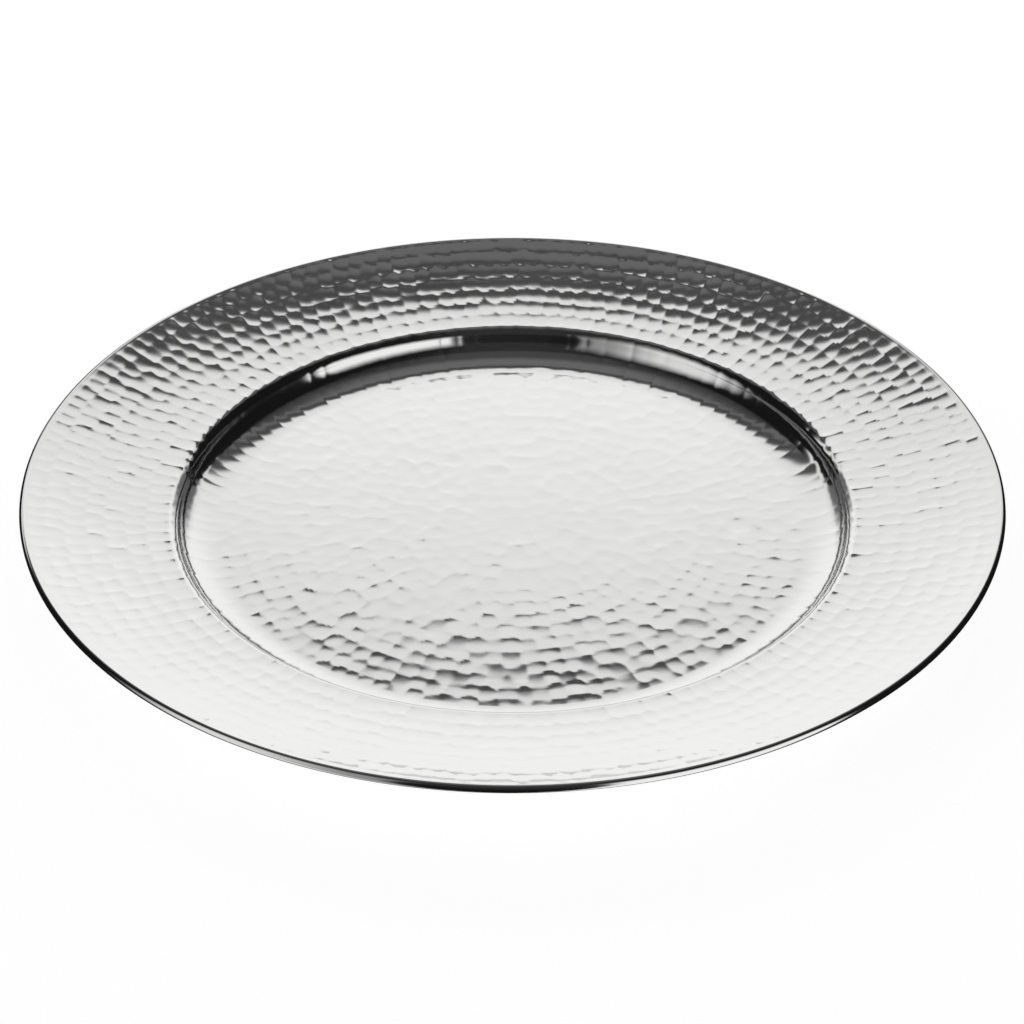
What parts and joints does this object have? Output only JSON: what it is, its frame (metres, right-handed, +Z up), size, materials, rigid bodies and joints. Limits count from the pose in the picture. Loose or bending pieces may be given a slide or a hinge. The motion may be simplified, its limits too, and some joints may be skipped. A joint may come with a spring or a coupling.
{
  "type": "offering plate",
  "caption": "Round hammered metal plate with a flat-bottomed well, a wide raised rim and a rolled edge over a wire.",
  "frame": {"origin": "on the plate's axis, at the level of the flat ring that it stands on", "axes": "+Z up along the plate's axis, +Y towards the joint in the edge wire"},
  "size_m": [0.33, 0.33, 0.0206],
  "materials": {
    "polished_sheet": "polished",
    "drawn_wire": "satin"
  },
  "bodies": {
    "root": {"plate": "polished_sheet", "edge_wire": "drawn_wire"}
  },
  "joints": []
}
